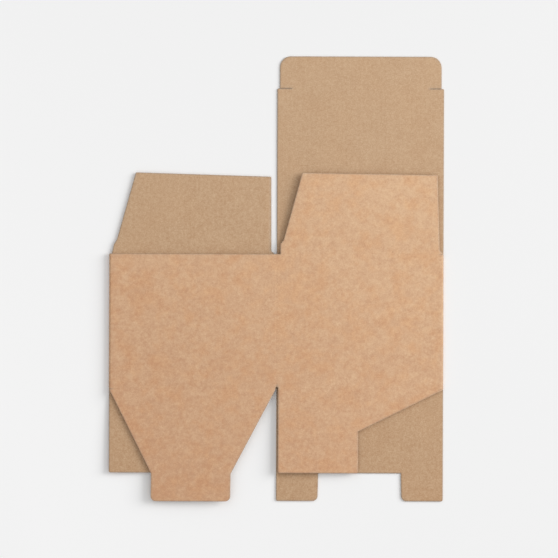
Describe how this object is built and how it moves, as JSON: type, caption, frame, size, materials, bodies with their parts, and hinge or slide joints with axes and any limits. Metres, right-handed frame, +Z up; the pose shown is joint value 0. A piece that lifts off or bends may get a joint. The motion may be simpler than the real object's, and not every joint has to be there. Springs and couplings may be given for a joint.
{
  "type": "flattened cardboard box",
  "caption": "Kraft board tuck-top carton folded flat and glued along one seam, with its lid, tuck flap, dust flaps and snap-lock bottom flaps spread out.",
  "frame": {"origin": "centre of the flattened carton's bounding box, on the surface that it lies on", "axes": "+X across the panels, from the front panel to the side panel beside it; +Y from the bottom flaps to the lid; +Z up from the surface"},
  "size_m": [0.2, 0.2664, 0.0049],
  "materials": {
    "kraft_board": "uncoated matt kraft liner, mottled outside and greyer inside"
  },
  "bodies": {
    "root": {"carton": "kraft_board"}
  },
  "joints": []
}
